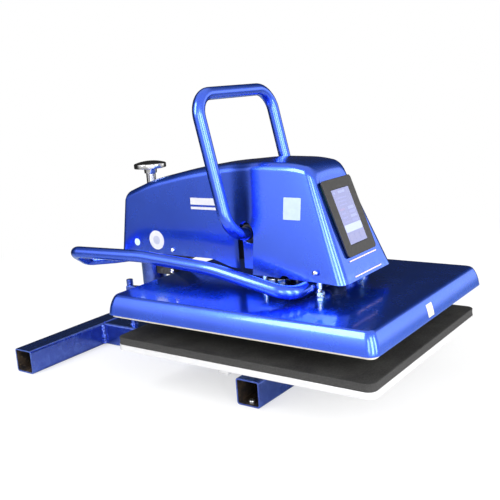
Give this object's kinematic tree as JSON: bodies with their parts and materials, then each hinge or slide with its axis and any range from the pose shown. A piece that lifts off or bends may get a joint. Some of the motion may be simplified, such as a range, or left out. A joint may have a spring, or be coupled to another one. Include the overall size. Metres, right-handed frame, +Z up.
{
  "type": "heat press",
  "caption": "Swing-away heat press: heated head on a pivoting arm, pulled down on a padded platen by a lift handle with a toggle, with a touch controller.",
  "frame": {"origin": "on the bench below the centre of the lower platen, at the underside of the front foot tube", "axes": "+X to the operator's right, -Y towards the operator, +Z up"},
  "size_m": [0.438, 0.794, 0.5283],
  "materials": {
    "rear_foot_paint": "metallic blue powder coat",
    "spine_paint": "metallic blue powder coat",
    "front_foot_paint": "metallic blue powder coat",
    "post_paint": "metallic blue powder coat",
    "washer_bronze": "plain turned bronze",
    "nut_zinc": "zinc plated",
    "stop_paint": "metallic blue powder coat",
    "pedestal_paint": "black powder coat",
    "cross_bar_aluminium": "mill finish",
    "lower_platen_aluminium": "machined satin",
    "pad_silicone": "matt silicone foam",
    "foot_screw_zinc": "zinc plated",
    "sleeve_paint": "metallic blue powder coat",
    "bush_bronze": "plain turned bronze",
    "collar_paint": "metallic blue powder coat",
    "head_block_steel": "black powder coat",
    "gusset_paint": "black powder coat",
    "side_plate_paint": "black powder coat",
    "guide_plate_steel": "black powder coat",
    "cheek_paint": "metallic blue powder coat",
    "shroud_paint": "glossy metallic blue",
    "screw_chrome": "bright",
    "bezel_plastic": "gloss black",
    "display_glass": "lit display glass",
    "board_plastic": "coated circuit board",
    "relay_plastic": "moulded",
    "inlet_plastic": "moulded black",
    "bar_paint": "glossy metallic blue",
    "clamp_steel": "black powder coat",
    "bridge_steel": "black powder coat",
    "rocker_plastic": "moulded red",
    "knob_chrome": "bright",
    "adjuster_steel": "blackened steel",
    "handle_paint": "glossy metallic blue",
    "axle_steel": "ground steel",
    "crank_steel": "black powder coat",
    "pin_steel": "ground steel",
    "link_steel": "black powder coat",
    "ram_steel": "ground and plated",
    "rod_chrome": "ground and plated",
    "housing_paint": "glossy metallic blue",
    "heat_platen_aluminium": "machined",
    "element_sheath": "heat tinted sheath",
    "glass_fibre": "felted fibre board",
    "probe_steel": "drawn steel"
  },
  "bodies": {
    "base": {"rear_foot_tube": "rear_foot_paint", "spine_tube": "spine_paint", "front_foot_tube": "front_foot_paint", "pivot_post": "post_paint", "thrust_washer": "washer_bronze", "post_nut": "nut_zinc", "stop_post": "stop_paint", "platen_pedestal": "pedestal_paint", "platen_cross_bar": "cross_bar_aluminium", "lower_platen": "lower_platen_aluminium", "platen_pad": "pad_silicone", "foot_screw_left": "foot_screw_zinc", "foot_screw_right": "foot_screw_zinc"},
    "arm": {"pivot_sleeve": "sleeve_paint", "lower_bush": "bush_bronze", "upper_bush": "bush_bronze", "stop_collar": "collar_paint", "arm_head_block": "head_block_steel", "arm_gusset": "gusset_paint", "arm_side_plate_left": "side_plate_paint", "arm_side_plate_right": "side_plate_paint", "guide_plate": "guide_plate_steel", "cheek_plate_left": "cheek_paint", "cheek_plate_right": "cheek_paint", "axle_bush_left": "bush_bronze", "axle_bush_right": "bush_bronze", "ram_bush": "bush_bronze", "shroud": "shroud_paint", "shroud_screw_front_left": "screw_chrome", "shroud_screw_front_right": "screw_chrome", "shroud_screw_rear_left": "screw_chrome", "shroud_screw_rear_right": "screw_chrome", "touch_bezel": "bezel_plastic", "touch_display": "display_glass", "controller_board": "board_plastic", "solid_state_relay": "relay_plastic", "power_inlet": "inlet_plastic", "swing_bar": "bar_paint", "swing_bar_clamp": "clamp_steel", "adjuster_bridge": "bridge_steel"},
    "lift": {"lift_handle": "handle_paint", "lift_axle": "axle_steel", "crank_left": "crank_steel", "crank_right": "crank_steel", "crank_pin": "pin_steel"},
    "link": {"toggle_link": "link_steel"},
    "press_head": {"ram": "ram_steel", "wrist_pin": "pin_steel", "guide_rod_front_left": "rod_chrome", "guide_rod_front_right": "rod_chrome", "guide_rod_rear_left": "rod_chrome", "guide_rod_rear_right": "rod_chrome", "upper_housing": "housing_paint", "heat_platen": "heat_platen_aluminium", "heating_element": "element_sheath", "insulation_board": "glass_fibre", "thermocouple": "probe_steel"},
    "knob": {"pressure_knob": "knob_chrome"},
    "adjuster": {"adjuster_nut": "adjuster_steel"},
    "switch": {"switch_rocker": "rocker_plastic"}
  },
  "joints": [
    {"name": "swing", "type": "hinge", "parent": "base", "child": "arm", "pos_m": [0, 0.339, 0.16], "axis": [0, 0, 1], "range_deg": [0, 100]},
    {"name": "lift_handle_pull", "type": "hinge", "parent": "arm", "child": "lift", "pos_m": [0, 0.052, 0.277], "axis": [1, 0, 0], "range_deg": [0, 81.62]},
    {"name": "toggle_pivot", "type": "hinge", "parent": "lift", "child": "link", "pos_m": [0, 0.03081, 0.2953], "axis": [1, 0, 0], "range_deg": [-82.12, 0.5]},
    {"name": "press_stroke", "type": "slide", "parent": "arm", "child": "press_head", "axis": [0, 0, -1], "range_m": [-0.0002, 0.0368]},
    {"name": "pressure_turn", "type": "hinge", "parent": "arm", "child": "knob", "pos_m": [0, 0.322, 0.387], "axis": [0, 0, 1], "range_deg": [-720, 720]},
    {"name": "adjuster_travel", "type": "slide", "parent": "arm", "child": "adjuster", "axis": [0, 0, 1], "range_m": [-0.0031, 0.0031]},
    {"name": "power_rocker", "type": "hinge", "parent": "arm", "child": "switch", "pos_m": [0.0505, 0.314, 0.268], "axis": [0, 1, 0], "range_deg": [-7, 7]}
  ],
  "couplings": [
    {"joint": "toggle_pivot", "follows": "lift_handle_pull", "ratio": -1},
    {"joint": "press_stroke", "follows": "lift_handle_pull", "m_per_rad": 0.025692},
    {"joint": "adjuster_travel", "follows": "pressure_turn", "m_per_rad": 0.00023873}
  ]
}
